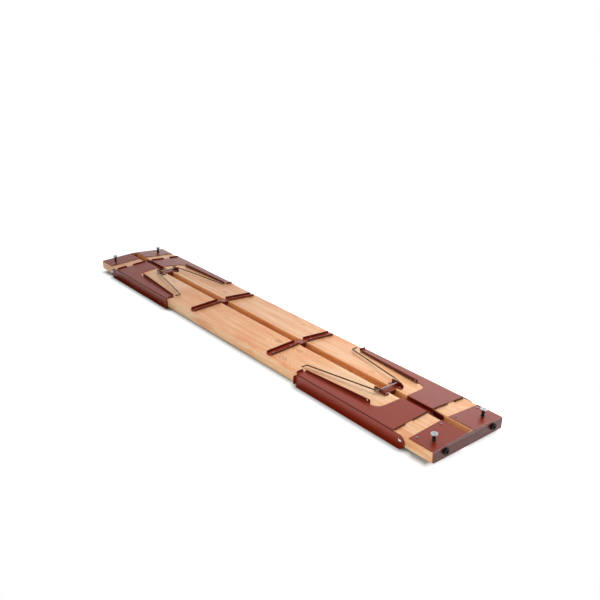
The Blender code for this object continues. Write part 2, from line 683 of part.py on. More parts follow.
def channel_wall_outline():
    """Wall of the channel with its hub ear round the hinge axis, in X and Z."""
    top = sheet_z(CHANNEL_HALF)
    floor = top - CHANNEL_DEPTH
    bend_end = STOP_X - RELIEF
    shoulder = (bend_end + SLOT, top - SHEET)
    heel = (bend_end + SLOT, floor)
    brow = (PIVOT_X + HUB_REACH, PIVOT_Z + HUB_TOP)
    chin = (PIVOT_X + HUB_REACH, PIVOT_Z - HUB_FOOT)
    jaw = (PIVOT_X - HUB_REACH, PIVOT_Z - HUB_FOOT)
    points = [(PIVOT_X - CUT_MID, top), (bend_end, top), (bend_end, top - RELIEF),
              (bend_end + SLOT, top - RELIEF), shoulder]
    points += fillet(shoulder, brow, chin, HUB_ROUND, 4)
    points += fillet(brow, chin, jaw, HUB_ROUND, 4)
    points += [jaw, heel, (bend_end + SLOT, floor + RELIEF), (bend_end, floor + RELIEF), (bend_end, floor)]
    points += [(PIVOT_X - CUT_MID, floor)]
    return points, floor


def leg_frame(label, finish, parent):
    """One folded sheet: panel over both boards, channel, side flanges with ears, ribs and stops."""
    sheet = Sheet()
    panel, foot_span = leg_panel_outline()
    flange, tab_span = side_flange_outline()
    wall, floor = channel_wall_outline()
    foot, lock, away = rib_line()
    for side in (-1, 1):
        sheet.face([(x, side * y, sheet_z(y)) for x, y in panel])
        sheet.face([(x, side * FLANGE_Y, z) for x, z in flange])
        sheet.face([(x, side * CHANNEL_HALF, z) for x, z in wall])
        upstand(sheet, (foot.x, side * foot.y, sheet_z(foot.y)), (lock.x, side * lock.y, sheet_z(lock.y)),
                RIB_FOOT_HEIGHT, RIB_LOCK_HEIGHT)
        for low, high in STOP_SPANS:
            upstand(sheet, (STOP_X, side * low, sheet_z(low)), (STOP_X, side * high, sheet_z(high)),
                    STOP_HEIGHT, STOP_HEIGHT)
        inner, outer = foot_span
        upstand(sheet, (FOOT_X, side * inner, sheet_z(inner)), (FOOT_X, side * outer, sheet_z(outer)),
                FOOT_FLANGE, FOOT_FLANGE)
        low, high = tab_span
        reach = side * (FLANGE_Y + FOOT_TAB)
        near = reach - side * CORNER
        sheet.face([(FOOT_X, side * FLANGE_Y, low), (FOOT_X, near, low), (FOOT_X, reach, low + CORNER),
                    (FOOT_X, reach, high - CORNER), (FOOT_X, near, high), (FOOT_X, side * FLANGE_Y, high)])
    ends = (PIVOT_X - CUT_MID, STOP_X - RELIEF)
    sheet.face([(ends[0], -CHANNEL_HALF, floor), (ends[1], -CHANNEL_HALF, floor),
                (ends[1], CHANNEL_HALF, floor), (ends[0], CHANNEL_HALF, floor)])
    leg = fold("leg_frame_" + label, sheet, finish, parent, (PIVOT_X, 0.0, PIVOT_Z))
    bm = bmesh.new()
    wide = FLANGE_Y + 2 * SHEET
    turn_profile(bm, rod_profile(ROD_DIA + BORE_PLAY, -wide, wide), along_y(PIVOT_X, 0.0, PIVOT_Z), 16)
    for side in (-1, 1):
        hole = rod_profile(WIRE_DIA + LOCK_PLAY, -3 * SHEET, 3 * SHEET)
        turn_profile(bm, hole, along_y(LOCK_X, side * LOCK_Y, LOCK_Z), 12)
    name = "leg_drill_" + label
    cut(leg, as_cutter(place(name, to_mesh(bm, name), None, parent)))
    return leg


# ---------------------------------------------------------------- hinges
def hinge_rod(label, finish, parent):
    """Rod through both boards and all four ears, with a pan head outside the front ear."""
    bm = bmesh.new()
    face = FLANGE_Y + SHEET / 2 + CLEARANCE
    head = [(radius, -face - rise) for radius, rise in reversed(dome(ROD_HEAD_DIA, 0.0, ROD_HEAD))]
    shaft = rod_profile(ROD_DIA, -face, face + ROD_HEAD * 0.7)
    turn_profile(bm, head + shaft, along_y(PIVOT_X, 0.0, PIVOT_Z), 16)
    name = "hinge_rod_" + label
    return place(name, to_mesh(bm, name), finish, parent)


def hinge_nut(label, finish, parent):
    """Domed nut on the rod's other end."""
    bm = bmesh.new()
    face = FLANGE_Y + SHEET / 2 + CLEARANCE
    bore = ROD_DIA / 2 + CLEARANCE
    height = ROD_HEAD * 1.5
    floor = face + ROD_HEAD * 0.7 + CLEARANCE
    shell = [(radius, rise) for radius, rise in dome(ROD_HEAD_DIA, face, height)]
    turn_profile(bm, [(0.0, floor), (bore, floor), (bore, face)] + shell, along_y(PIVOT_X, 0.0, PIVOT_Z), 16)
    name = "hinge_nut_" + label
    return place(name, to_mesh(bm, name), finish, parent)


def ring(bm, inner, outer, low, high, frame, steps=16):
    """Washer or sleeve between two heights of a frame."""
    turn_profile(bm, [(inner, low), (outer, low), (outer, high), (inner, high)], frame, steps, closed=True)


def hinge_washer(name, side, finish, parent):
    """Washer between an outer ear and its board."""
    bm = bmesh.new()
    low = HALF_SPAN + CLEARANCE
    span = sorted((side * low, side * (low + WASHER)))
    ring(bm, (ROD_DIA + BORE_PLAY) / 2, WASHER_DIA / 2, *span, along_y(PIVOT_X, 0.0, PIVOT_Z))
    return place(name, to_mesh(bm, name), finish, parent)


def hinge_spacer(label, finish, parent):
    """Sleeve that keeps the channel's two hub ears apart."""
    bm = bmesh.new()
    reach = CHANNEL_HALF - SHEET / 2 - CLEARANCE
    ring(bm, (ROD_DIA + BORE_PLAY) / 2, SPACER_DIA / 2, -reach, reach, along_y(PIVOT_X, 0.0, PIVOT_Z))
    name = "hinge_spacer_" + label
    return place(name, to_mesh(bm, name), finish, parent)


# ---------------------------------------------------------------- lock bows
def bow_route():
    """Middle line of the wire, from tip to tip, about the cross rod's axis."""
    tip_x = -BOW_REACH * math.cos(BOW_REST_ANGLE)
    tip_z = -BOW_REACH * math.sin(BOW_REST_ANGLE)
    corners = [(tip_x, -ARM_END_Y - TIP_LENGTH, tip_z), (tip_x, -ARM_END_Y, tip_z), (0.0, -ROD_HALF, 0.0),
               (0.0, ROD_HALF, 0.0), (tip_x, ARM_END_Y, tip_z), (tip_x, ARM_END_Y + TIP_LENGTH, tip_z)]
    points = [corners[0]]
    for index in range(1, 5):
        radius = WIRE_BEND if index in (2, 3) else TIP_BEND
        points += fillet(corners[index - 1], corners[index], corners[index + 1], radius, 4)
    points.append(corners[-1])
    return points


def lock_bow(label, finish, parent):
    """Bent wire: cross rod in the bracket's cheeks, two arms, tips turned outwards."""
    name = "lock_bow_" + label
    curve = bpy.data.curves.new(name, "CURVE")
    curve.dimensions = "3D"
    curve.bevel_depth = WIRE_DIA / 2
    curve.bevel_resolution = 2
    curve.use_fill_caps = True
    line = curve.splines.new("POLY")
    route = bow_route()
    line.points.add(len(route) - 1)
    for point, spot in zip(line.points, route):
        point.co = (*spot, 1.0)
    return place(name, curve, finish, parent, Matrix.Translation((BOW_X, 0.0, BOW_Z)))


# ---------------------------------------------------------------- the bench
def build_end(label, turn, paint, parts):
    """Everything that one end of the bench carries, made once and turned for the other end."""
    parent = empty("end_" + label, turn)
    end_plate(label, paint["coat"], parent)
    cross_bracket(label, paint["coat"], parent)
    bow_bracket(label, paint["coat"], parent)
    leg_frame(label, paint["coat"], parent)
    lock_bow(label, paint["wire"], parent)
    hinge_rod(label, paint["zinc"], parent)
    hinge_nut(label, paint["zinc"], parent)
    hinge_spacer(label, paint["nylon"], parent)
    for group, spots in screw_places().items():
        for number, spot in enumerate(spots, 1):
            name = group + "_screw_" + label + "_" + str(number)
            place(name, parts["screw"], paint["zinc"], parent, on_board(*spot))
    for side in (-1, 1):
        board = "front" if side * math.cos(turn) < 0 else "back"
        tail = label + "_" + board
        hinge_washer("hinge_washer_" + tail, side, paint["nylon"], parent)
        butt = along_x(LENGTH / 2, side * BUMPER_Y, FLANGE_DROP + BUMPER_RISE)
        post = on_board(LENGTH / 2 - STUD_X, side * STUD_Y)
        place("bumper_" + tail, parts["bumper"], paint["rubber"], parent, butt)
        place("stud_stem_" + tail, parts["stud"], paint["nylon"], parent, post)
        place("stud_cap_" + tail, parts["cap"], paint["zinc"], parent, post)


def build():
    clear_scene()
    paint = finishes()
    parts = {"screw": wood_screw(2 * CLEARANCE + SHEET), "bumper": bumper_mesh(),
             "stud": stud_mesh(), "cap": stud_cap_mesh()}
    boards = [seat_board("seat_board_front", -1, paint["pine"]), seat_board("seat_board_back", 1, paint["pine"])]
    drill_boards(boards)
    build_end("right", 0.0, paint, parts)
    build_end("left", math.pi, paint, parts)
    for made in bpy.context.scene.objects:
        if made.type == "MESH" and made.modifiers:
            even_shading(made)


build()
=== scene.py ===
"""Finish of the folding bench: sheet, wire, fasteners and boards, with their materials, floor and light.

Metres, in the bench's own frame: X along the bench, Y across it, Z up, origin on the floor under its
middle. Colours are linear red, green and blue. Each material reads its place in this frame.
"""

import json
import math

import bmesh
import bpy
import numpy as np
from mathutils import Matrix, Vector


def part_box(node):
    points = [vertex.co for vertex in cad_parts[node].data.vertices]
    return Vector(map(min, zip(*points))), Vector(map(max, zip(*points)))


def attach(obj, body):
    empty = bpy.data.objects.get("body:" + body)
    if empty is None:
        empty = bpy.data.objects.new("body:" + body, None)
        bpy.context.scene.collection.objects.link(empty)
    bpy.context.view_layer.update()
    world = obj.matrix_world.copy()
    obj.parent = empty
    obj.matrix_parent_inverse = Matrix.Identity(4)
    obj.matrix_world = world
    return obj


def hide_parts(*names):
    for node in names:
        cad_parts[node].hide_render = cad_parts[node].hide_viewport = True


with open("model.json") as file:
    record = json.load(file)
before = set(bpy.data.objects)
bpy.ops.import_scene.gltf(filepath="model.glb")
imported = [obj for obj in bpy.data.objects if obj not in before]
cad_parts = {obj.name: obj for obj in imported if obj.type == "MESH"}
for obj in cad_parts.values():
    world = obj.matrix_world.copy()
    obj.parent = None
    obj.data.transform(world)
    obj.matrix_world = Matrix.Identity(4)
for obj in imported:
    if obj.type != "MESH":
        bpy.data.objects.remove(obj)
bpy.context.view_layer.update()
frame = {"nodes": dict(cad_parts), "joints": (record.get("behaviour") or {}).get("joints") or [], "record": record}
NODES = frame["nodes"]
JOINTS = {joint["name"]: joint for joint in frame["joints"]}

# ---------------------------------------------------------------- sizes the solids have
# The gap between neighbours, the sheet's gauge, the boards, and a plate's upper face over its board.
CLEARANCE = 0.0003
SHEET = 0.002
HALF_LENGTH = 1.0
HALF_SPAN = 0.160
HALF_GAP = 0.0165
SEAT_Z = 0.011
BOARD_THICK = 0.035
CROWN = 0.009
EDGE_Z = SEAT_Z + BOARD_THICK
TILT = math.atan2(CROWN, HALF_SPAN - HALF_GAP)
PLATE_FACE = 2 * CLEARANCE + SHEET
ENDS = (("right", 1), ("left", -1))
BOARDS = (("front", -1), ("back", 1))


def underside(y):
    """Height of the boards' underside, which rises evenly from EDGE_Z at each outer edge to the slot."""
    return EDGE_Z + CROWN * (HALF_SPAN - abs(y)) / (HALF_SPAN - HALF_GAP)


def on_board(x, y):
    """Frame on the boards' underside at x, y, its Z axis square to that board."""
    lean = math.copysign(TILT, y)
    return Matrix.Translation((x, y, underside(y))) @ Matrix.Rotation(-lean, 4, "X")


def along_x(sign, x, y, z):
    """Frame at a point, its Z axis along +X or -X."""
    return Matrix.Translation((x, y, z)) @ Matrix.Rotation(sign * math.pi / 2, 4, "Y")


def along_y(sign, x, y, z):
    """Frame at a point, its Z axis along +Y or -Y."""
    return Matrix.Translation((x, y, z)) @ Matrix.Rotation(-sign * math.pi / 2, 4, "X")


# ---------------------------------------------------------------- shader sums
class Value:
    """One output socket of a tree's nodes; Python's operators on it add Math nodes."""

    def __init__(self, recipe, socket):
        self.recipe = recipe
        self.socket = socket

    def math(self, operation, *others):
        """Result of the named Math operation on the value and others."""
        return self.recipe.node("ShaderNodeMath", {"operation": operation}, [self, *others])

    def __add__(self, other):
        return self.math("ADD", other)

    def __sub__(self, other):
        return self.math("SUBTRACT", other)

    def __rsub__(self, other):
        return self.recipe.node("ShaderNodeMath", {"operation": "SUBTRACT"}, [other, self])

    def __mul__(self, other):
        return self.math("MULTIPLY", other)

    def __pow__(self, other):
        return self.math("POWER", other)

    def __abs__(self):
        return self.math("ABSOLUTE")

    __radd__ = __add__
    __rmul__ = __mul__

    def clamp(self):
        """The value held between 0 and 1."""
        settings = {"operation": "ADD", "use_clamp": True}
        return self.recipe.node("ShaderNodeMath", settings, [self, 0.0])

    def step(self, low, high, to_low=0.0, to_high=1.0):
        """Smooth step from to_low to to_high while the value goes from low to high."""
        ends = {"From Min": low, "From Max": high, "To Min": to_low, "To Max": to_high}
        settings = {"interpolation_type": "SMOOTHSTEP"}
        return self.recipe.node("ShaderNodeMapRange", settings, {"Value": self, **ends}, "Result")


def distance(a, b):
    """Length of the vector of two Values."""
    return (a * a + b * b) ** 0.5


class Recipe:
    """Nodes under construction, in the tree of a material or of the world."""

    def __init__(self, owner):
        owner.use_nodes = True
        self.owner = owner
        self.tree = owner.node_tree

    def node(self, kind, settings=(), inputs=(), output=0):
        """Add a node: its own settings first, then its inputs by name or by order; give one output."""
        made = self.tree.nodes.new(kind)
        for name, value in dict(settings).items():
            if name == "stops":
                ramp = made.color_ramp
                while len(ramp.elements) < len(value):
                    ramp.elements.new(0.5)
                for element, (place, colour) in zip(ramp.elements, value):
                    element.position = place
                    element.color = (*colour, 1.0)
            else:
                setattr(made, name, value)
        for key, value in inputs.items() if isinstance(inputs, dict) else enumerate(inputs):
            self.feed(made.inputs[key], value)
        return Value(self, made.outputs[output])

    def feed(self, socket, value):
        """Link a Value to a socket, or set the socket to plain numbers."""
        if isinstance(value, Value):
            self.tree.links.new(value.socket, socket)
        else:
            socket.default_value = value

    def rays(self):
        """Three Values, 1 for a ray from the eye, from gloss and through clear matter, else 0."""
        path = self.node("ShaderNodeLightPath").socket.node
        return [Value(self, path.outputs[f"Is {kind} Ray"]) for kind in ("Camera", "Glossy", "Transmission")]

    def parts(self, vector):
        """X, Y and Z of a vector."""
        split = self.node("ShaderNodeSeparateXYZ", {}, [vector]).socket.node
        return [Value(self, socket) for socket in split.outputs]

    def point(self, x, y, z):
        """Vector or colour from three numbers."""
        return self.node("ShaderNodeCombineXYZ", {}, (x, y, z))

    def stretched(self, vector, scale):
        """Vector times a scale for each axis."""
        return self.node("ShaderNodeMapping", {"vector_type": "POINT"}, {"Vector": vector, "Scale": scale})

    def noise(self, vector, scale, detail, roughness):
        """Soft noise about 0.5."""
        inputs = {"Vector": vector, "Scale": scale, "Detail": detail, "Roughness": roughness}
        return self.node("ShaderNodeTexNoise", {}, inputs, "Fac")

    def cells(self, vector, scale):
        """Distance to the nearest of many scattered points."""
        return self.node("ShaderNodeTexVoronoi", {}, {"Vector": vector, "Scale": scale}, "Distance")

    def ramp(self, value, stops):
        """Colour by a value, from stops of (value, colour)."""
        return self.node("ShaderNodeValToRGB", {"stops": stops}, {"Fac": value}, "Color")

    def blend(self, share, first, second, how="MIX"):
        """Colour between first and second, or second laid on first in the named way."""
        settings = {"data_type": "RGBA", "blend_type": how}
        first, second = (value if isinstance(value, Value) else (*value, 1.0) for value in (first, second))
        return self.node("ShaderNodeMix", settings, {0: share, 6: first, 7: second}, 2)

    def tinted(self, share, colour, tint):
        """Colour multiplied by a tint, by the share given."""
        return self.blend(share, colour, tint, "MULTIPLY")


class Finish(Recipe):
    """A material under construction, with its Principled shader."""

    def __init__(self, name, view_colour):
        super().__init__(bpy.data.materials.new(name))
        self.owner.diffuse_color = (*view_colour, 1.0)
        self.shader = self.tree.nodes["Principled BSDF"]

    def place(self):
        """The point on the piece, in the bench's frame."""
        return self.node("ShaderNodeTexCoord", {}, (), "Object")

    def facing(self):
        """The way the surface faces, in the bench's frame."""
        return self.node("ShaderNodeTexCoord", {}, (), "Normal")

    def bump(self, height, strength, distance_m):
        """Relief, in which a height of 1 stands for distance_m metres."""
        inputs = {"Height": height, "Strength": strength, "Distance": distance_m}
        self.feed(self.shader.inputs["Normal"], self.node("ShaderNodeBump", {}, inputs, "Normal"))

    def finish(self, **sockets):
        """Feed the shader's sockets, named in small letters, and give the material."""
        for name, value in sockets.items():
            self.feed(self.shader.inputs[name.replace("_", " ").title().replace("Ior", "IOR")], value)
        return self.owner


# ---------------------------------------------------------------- wood
# A knot goes right through its board: its x, its y and its radius.
KNOTS = (
    (0.296, -0.124, 0.0115), (0.294, -0.048, 0.0095), (0.186, -0.056, 0.0105), (-0.245, -0.096, 0.0080),
    (-0.560, -0.040, 0.0085), (0.610, -0.050, 0.0060), (-0.890, -0.110, 0.0070), (0.930, -0.060, 0.0070),
    (0.120, 0.118, 0.0060), (-0.330, 0.066, 0.0080), (0.560, 0.046, 0.0055), (-0.700, 0.126, 0.0080),
    (0.860, 0.108, 0.0060))
KNOT_NARROWING = 0.62
# In a knot's own radii: where its marks start and are full, and how far it pushes the rings.
PUSH_FADE = (4.0, 0.6)
PUSH_BY = 1.6
RIM_INSIDE = (0.72, 0.84)
RIM_OUTSIDE = (1.02, 0.90)
CORE_FADE = (0.34, 0.16)
HALO_FADE = (4.2, 1.0)
# The pith's y and z, for the front board and the back board, and the rings' radians per metre from it.
PITH_Y = (-0.050, 0.075)
PITH_Z = (-0.062, -0.082)
RING_RATE = 820.0
# Noises in the wood: scale along X, shift from board to board, scale across, detail and roughness.
DRIFT = (1.7, 9.0, 3.0, 2.0, 0.45)
SWAY = (6.0, 4.0, 14.0, 3.0, 0.55)
BROAD = (1.3, 3.0, 46.0, 3.0, 0.60)
STREAK = (3.2, 7.0, 105.0, 2.0, 0.60)
FIBRE = (16.0, 5.0, 520.0, 2.0, 0.60)
FLAMES = (5.0, 2.0, 26.0, 3.0, 0.60)
WOOD_TONES = ((0.30, (0.85, 0.400, 0.185)), (0.50, (0.925, 0.515, 0.275)), (0.72, (0.97, 0.640, 0.395)))
AMBER = (0.80, 0.340, 0.140)
STRAW = (0.99, 0.690, 0.440)
LATE_WOOD = (0.78, 0.370, 0.155)
PORE = (0.70, 0.320, 0.125)
FLAME = (0.80, 0.290, 0.105)
# painted light: the front board is paler where the legs' cut-outs lie
CUT_OUT_PAINTED_LIGHT = (0.99, 0.720, 0.480)
KNOT_RIM = (0.36, 0.160, 0.060)
KNOT_CORE = (0.26, 0.120, 0.050)
SLOT_FLAME = (0.58, 0.200, 0.060)
# painted shade in the slot, painted light at its right end and on the boards' outer sides
SLOT_PAINTED_SHADE = (1.06, 0.90, 0.66)
SLOT_END_PAINTED_LIGHT = (1.08, 1.00, 0.88)
SIDE_PAINTED_LIGHT = (1.06, 1.22, 1.30)
FRONT_MIDDLE_TINT = (0.98, 0.93, 0.89)
BACK_MIDDLE_TINT = (0.91, 0.88, 0.84)
END_GRAIN_TINT = (0.82, 0.64, 0.46)


def knots(x, y, sway):
    """Sums over all knots: how far each pushes the rings out, its dark rim, its core and its wide halo.

    All four are smooth steps of the distance from the knot's middle, narrowed along the grain.
    """
    marks = []
    for knot_x, knot_y, size in KNOTS:
        away = distance((x - knot_x) * KNOT_NARROWING, y - knot_y) + sway * size * 0.5
        push, inside, outside, core, halo = (
            away.step(size * start, size * full)
            for start, full in (PUSH_FADE, RIM_INSIDE, RIM_OUTSIDE, CORE_FADE, HALO_FADE))
        marks.append((push * (size * PUSH_BY), inside * outside, core, halo))
    return [sum(column) for column in zip(*marks)]


def pine():
    """Varnished pine: growth rings about a pith below each board, bent round knots; pores along the grain."""
    made = Finish("varnished_pine", (0.90, 0.52, 0.28))
    x, y, z = made.parts(made.place())
    along, reach = abs(x), abs(y)
    board = y.step(-0.001, 0.001)

    def by_board(front, back):
        """A number that is front on the front board and back on the back board."""
        return board * (back - front) + front

    def grain(stretch, shift, across, detail, roughness):
        """Noise drawn out along the boards, shifted from one board to the other."""
        spot = made.point(x * stretch + board * shift, y * across, z * across)
        return made.noise(spot, 1.0, detail, roughness)

    drift, sway = grain(*DRIFT) - 0.5, grain(*SWAY) - 0.5
    streak, fibre, flame = grain(*STREAK), grain(*FIBRE), grain(*FLAMES)
    push, rim, core, halo = knots(x, y, sway)
    radius = distance(y - by_board(*PITH_Y) + drift * 0.060, z - by_board(*PITH_Z) + sway * 0.006)
    ring = (((radius + push) * RING_RATE + sway * 2.4).math("SINE") * 0.5 + 0.5) ** 1.8

    # grain and streaks, redder by the outer edges; painted light makes the front board paler inside the legs'
    # cut-outs
    colour = made.ramp(grain(*BROAD), WOOD_TONES)
    colour = made.blend(streak.step(0.50, 0.70) * 0.50, colour, AMBER)
    colour = made.blend(streak.step(0.50, 0.32) * 0.45, colour, STRAW)
    colour = made.blend(ring * (halo.clamp() * 0.30 + 0.40), colour, LATE_WOOD)
    colour = made.blend(fibre.step(0.54, 0.70) * 0.40, colour, PORE)
    by_edge = reach.step(0.112, 0.150, 0.35, 1.0)
    colour = made.blend(flame.step(0.48, 0.60) * by_edge * 0.75, colour, FLAME)
    cut_out_light = along.step(0.42, 0.50) * along.step(0.76, 0.66) * y.step(-0.110, -0.080)
    colour = made.blend(cut_out_light * (1.0 - board) * 0.45, colour, CUT_OUT_PAINTED_LIGHT)
    colour = made.blend(rim.clamp() * 0.80, colour, KNOT_RIM)
    colour = made.blend(core.clamp() * 0.85, colour, KNOT_CORE)

    # sawn faces: painted shade in the slot, painted light at its right end and on the outer sides, darker end
    # grain
    normal_x, normal_y, _ = made.parts(made.facing())
    sawn = abs(normal_y).step(0.70, 0.95)
    in_slot = sawn * reach.step(0.030, 0.020)
    colour = made.tinted(in_slot * x.step(0.90, 0.62), colour, SLOT_PAINTED_SHADE)
    colour = made.tinted(in_slot * x.step(0.62, 0.90), colour, SLOT_END_PAINTED_LIGHT)
    colour = made.blend(in_slot * flame.step(0.52, 0.64) * 0.40, colour, SLOT_FLAME)
    # painted light: the outer sides are paler
    outer_side_light = sawn * reach.step(HALF_SPAN - 0.010, HALF_SPAN - 0.002)
    colour = made.tinted(outer_side_light, colour, SIDE_PAINTED_LIGHT)
    middle = along.step(0.62, 0.30) * (1.0 - in_slot)
    colour = made.tinted(middle * (1.0 - board), colour, FRONT_MIDDLE_TINT)
    colour = made.tinted(middle * board, colour, BACK_MIDDLE_TINT)
    end_grain = abs(normal_x).step(0.70, 0.95)
    colour = made.tinted(end_grain * 0.70, colour, END_GRAIN_TINT)
    made.bump(fibre * 0.6 + ring * 0.5 - core * 0.5, 0.22, 0.0006)
    roughness = 0.34 + fibre * 0.16
    return made.finish(base_color=colour, roughness=roughness, coat_weight=0.25, coat_roughness=0.22)


# ---------------------------------------------------------------- metal, rubber and nylon
COAT_TONES = ((0.30, (0.245, 0.0200, 0.0032)), (0.70, (0.280, 0.0250, 0.0045)))
COAT_RUBBED = (0.34, 0.045, 0.014)
# Painted shade and light: a dark line by the legs' outer bends, a highlight on the end plates' bend, inner faces
# and low flanges darker
CREASE_PAINTED_SHADE = (0.080, 0.0060, 0.0015)
FOLD_PAINTED_HIGHLIGHT = (0.62, 0.300, 0.260)
INNER_PAINTED_SHADE = (0.46, 0.30, 0.20)
FLANGE_FOOT_PAINTED_SHADE = (0.50, 0.30, 0.20)
# A dark line of painted shade lies beside a leg's outer bend, between these two distances from the middle.
CREASE_FROM = 0.1610
CREASE_TO = 0.1634
CREASE_SOFT = 0.0004
WIRE_TONES = ((0.35, (0.34, 0.28, 0.19)), (0.62, (0.22, 0.17, 0.10)))
# painted reflection: the cross rod's lighter colour
ROD_PAINTED_SHEEN = (0.88, 0.82, 0.74)
ZINC_TONES = ((0.35, (0.88, 0.90, 0.94)), (0.70, (0.74, 0.76, 0.80)))


def powder_coat():
    """Red-brown powder coat: fine orange peel and a few rubbed places, with painted shade on upright inner faces,
    low on the legs' outer flanges and in a line beside each leg's outer bend, and a painted highlight on the end
    plates' upper bend."""
    made = Finish("red_brown_coat", (0.20, 0.02, 0.01))
    place = made.place()
    x, y, z = made.parts(place)
    along, reach = abs(x), abs(y)
    steep = abs(made.parts(made.facing())[2]).step(0.80, 0.40)
    peel = made.noise(place, 420.0, 2.0, 0.5)
    cloud = made.noise(made.stretched(place, (3.0, 7.0, 7.0)), 1.0, 3.0, 0.55)
    rubbed = made.noise(made.stretched(place, (14.0, 90.0, 40.0)), 1.0, 4.0, 0.6)
    colour = made.blend(rubbed.step(0.62, 0.80) * 0.15, made.ramp(cloud, COAT_TONES), COAT_RUBBED)
    # painted shade: upright faces inside the boards' outline are darker
    inner = reach.step(HALF_SPAN, HALF_SPAN - 0.004) * along.step(HALF_LENGTH - 0.001, HALF_LENGTH - 0.003)
    colour = made.tinted(steep * inner, colour, INNER_PAINTED_SHADE)
    # painted shade: a dark line beside each leg's outer bend
    crease_shade = reach.step(CREASE_FROM - CREASE_SOFT, CREASE_FROM + CREASE_SOFT)
    crease_shade = crease_shade * reach.step(CREASE_TO + CREASE_SOFT, CREASE_TO - CREASE_SOFT)
    crease_shade = crease_shade * z.step(0.0430, 0.0450) * along.step(0.90, 0.88)
    colour = made.blend(crease_shade * 0.85, colour, CREASE_PAINTED_SHADE)
    # painted highlight along the end plates' upper bend
    fold_highlight = along.step(HALF_LENGTH - 0.0030, HALF_LENGTH - 0.0016) * z.step(EDGE_Z - 0.001, EDGE_Z)
    colour = made.blend(fold_highlight * 0.80, colour, FOLD_PAINTED_HIGHLIGHT)
    # painted shade: the legs' outer flanges are darker towards the floor
    flange_foot_shade = steep * reach.step(HALF_SPAN, HALF_SPAN + 0.003) * z.step(0.036, 0.006)
    colour = made.tinted(flange_foot_shade * 0.60, colour, FLANGE_FOOT_PAINTED_SHADE)
    made.bump(peel, 0.10, 0.0004)
    roughness = cloud.step(0.30, 0.75, 0.24, 0.34) + rubbed.step(0.60, 0.80) * 0.06
    return made.finish(base_color=colour, roughness=roughness, ior=1.6)


def drawn_wire():
    """Drawn steel: draw marks along the wire, faint brown stain, and a painted reflection that makes the cross rod
    lighter.
    """
    made = Finish("drawn_wire", (0.6, 0.56, 0.5))
    place = made.place()
    marks = made.noise(made.stretched(place, (30.0, 900.0, 900.0)), 1.0, 2.0, 0.6)
    stain = made.noise(place, 24.0, 3.0, 0.6)
    # painted reflection: the cross rod is lighter than the arms
    rod_sheen = abs(made.parts(place)[1]).step(0.058, 0.050)
    colour = made.blend(rod_sheen * 0.80, made.ramp(stain, WIRE_TONES), ROD_PAINTED_SHEEN)
    made.bump(marks, 0.12, 0.0003)
    return made.finish(base_color=colour, metallic=1.0, roughness=stain.step(0.35, 0.70, 0.20, 0.34))


def zinc():
    """Zinc plate on fasteners: fine mottle and slight dulling."""
    made = Finish("zinc_plate", (0.72, 0.73, 0.75))
    place = made.place()
    dull = made.noise(place, 160.0, 3.0, 0.6)
    made.bump(made.cells(place, 900.0), 0.06, 0.0002)
    roughness = dull.step(0.30, 0.75, 0.28, 0.42)
    return made.finish(base_color=made.ramp(dull, ZINC_TONES), metallic=1.0, roughness=roughness)


def dark_moulding(name, grey, scale, smoothest, roughest):
    """Black moulded rubber or nylon: fine grain, slightly uneven tone and gloss."""
    made = Finish(name, (grey, grey, grey))
    place = made.place()
    grain = made.noise(place, scale, 3.0, 0.6)
    cloud = made.noise(place, scale * 0.08, 2.0, 0.5)
    low = (grey * 0.8, grey * 0.8, grey * 0.85)
    high = (grey * 1.5, grey * 1.5, grey * 1.5)
    made.bump(grain, 0.15, 0.0002)
    return made.finish(base_color=made.ramp(cloud, ((0.30, low), (0.70, high))),
                       roughness=cloud.step(0.30, 0.70, smoothest, roughest))


FINISHES = {"pine": pine(), "coat": powder_coat(), "wire": drawn_wire(), "zinc": zinc(),
            "rubber": dark_moulding("black_rubber", 0.006, 1400.0, 0.50, 0.62),
            "nylon": dark_moulding("black_nylon", 0.010, 1800.0, 0.22, 0.36)}


# ---------------------------------------------------------------- mesh building
# Degrees between two faces, past which the edge between them stays sharp.
FOLD_EDGE = 32.0
HEAD_EDGE = 35.0
BUTTON_EDGE = 40.0
WIRE_EDGE = 50.0
# Metres within which a solid's points are one, and degrees within which its faces are one flat face.
MERGE_WITHIN = 0.00002
FLAT_WITHIN = 0.4


def dress(name, mesh, slot, body, sharp_from):
    """Object of a mesh at the origin, smooth but for its sharp edges, with its finish, riding on a body."""
    mesh.shade_smooth()
    mesh.set_sharp_from_angle(angle=math.radians(sharp_from))
    mesh.materials.append(FINISHES[slot])
    made = bpy.data.objects.new(name, mesh)
    bpy.context.scene.collection.objects.link(made)
    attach(made, body)
    return made


def piece(name, points, faces, slot, body, sharp_from):
    """New piece from an array of points and a list of faces."""
    mesh = bpy.data.meshes.new(name)
    mesh.from_pydata(points.tolist(), [], faces)
    return dress(name, mesh, slot, body, sharp_from)


def smooth_copy(node, slot, body):
    """Merged copy of a solid's loose triangles, shaded smooth over bends with flat faces kept flat."""
    bm = bmesh.new()
    bm.from_mesh(NODES[node].data)
    bmesh.ops.remove_doubles(bm, verts=bm.verts, dist=MERGE_WITHIN)
    bmesh.ops.dissolve_limit(bm, angle_limit=math.radians(FLAT_WITHIN), verts=bm.verts, edges=bm.edges)
    mesh = bpy.data.meshes.new(node + "_smooth")
    bm.to_mesh(mesh)
    bm.free()
    made = dress(node + "_smooth", mesh, slot, body, FOLD_EDGE)
    made.modifiers.new("even_shading", "WEIGHTED_NORMAL").keep_sharp = True
    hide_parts(node)


def placed(points, place):
    """Points carried by a frame: turned by its axes, then shifted to its origin."""
    matrix = np.array(place)
    return points @ matrix[:3, :3].T + matrix[:3, 3]


